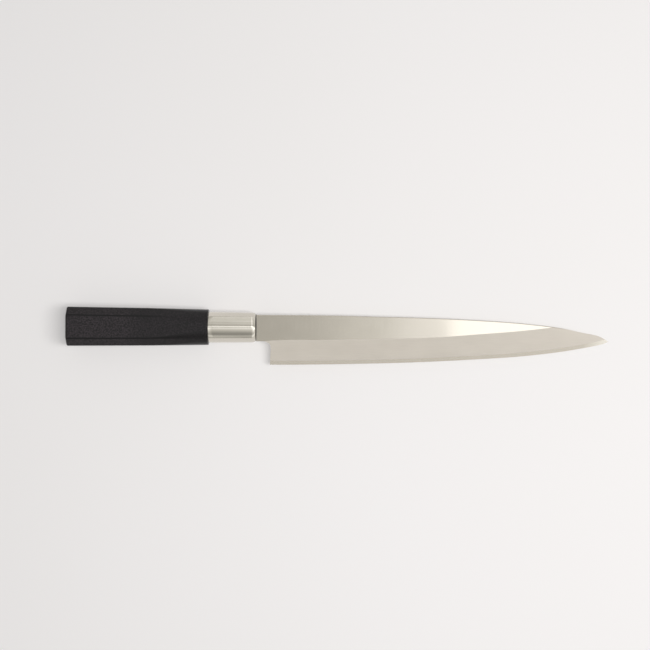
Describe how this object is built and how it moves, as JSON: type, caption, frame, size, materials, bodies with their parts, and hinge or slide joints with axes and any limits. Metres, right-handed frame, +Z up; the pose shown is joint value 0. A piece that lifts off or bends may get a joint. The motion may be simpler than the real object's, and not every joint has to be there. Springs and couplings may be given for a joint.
{
  "type": "yanagiba knife",
  "caption": "Slender pointed slicing knife ground on its right face only, with a round steel ferrule and a faceted moulded handle that fades to an oval.",
  "frame": {"origin": "under the middle of the knife's box, in the plane of the handle's lower wide facet", "axes": "+X along the knife from butt to tip, +Y from the edge towards the spine, +Z up out of the bevelled face"},
  "size_m": [0.3366, 0.0351, 0.02],
  "materials": {
    "blade_steel": "stainless blade steel: bright polished upper face, satin ground bevel and back",
    "ferrule_steel": "polished stainless tube with faint lengthwise draw lines",
    "handle_plastic": "black moulded polypropylene with a fine spark-eroded grain",
    "bedding_epoxy": "cured amber epoxy adhesive, hidden inside the handle",
    "seal_rubber": "black moulded elastomer plug"
  },
  "bodies": {
    "root": {"blade": "blade_steel", "ferrule": "ferrule_steel", "handle": "handle_plastic", "tang_bedding": "bedding_epoxy", "mouth_seal": "seal_rubber"}
  },
  "joints": []
}
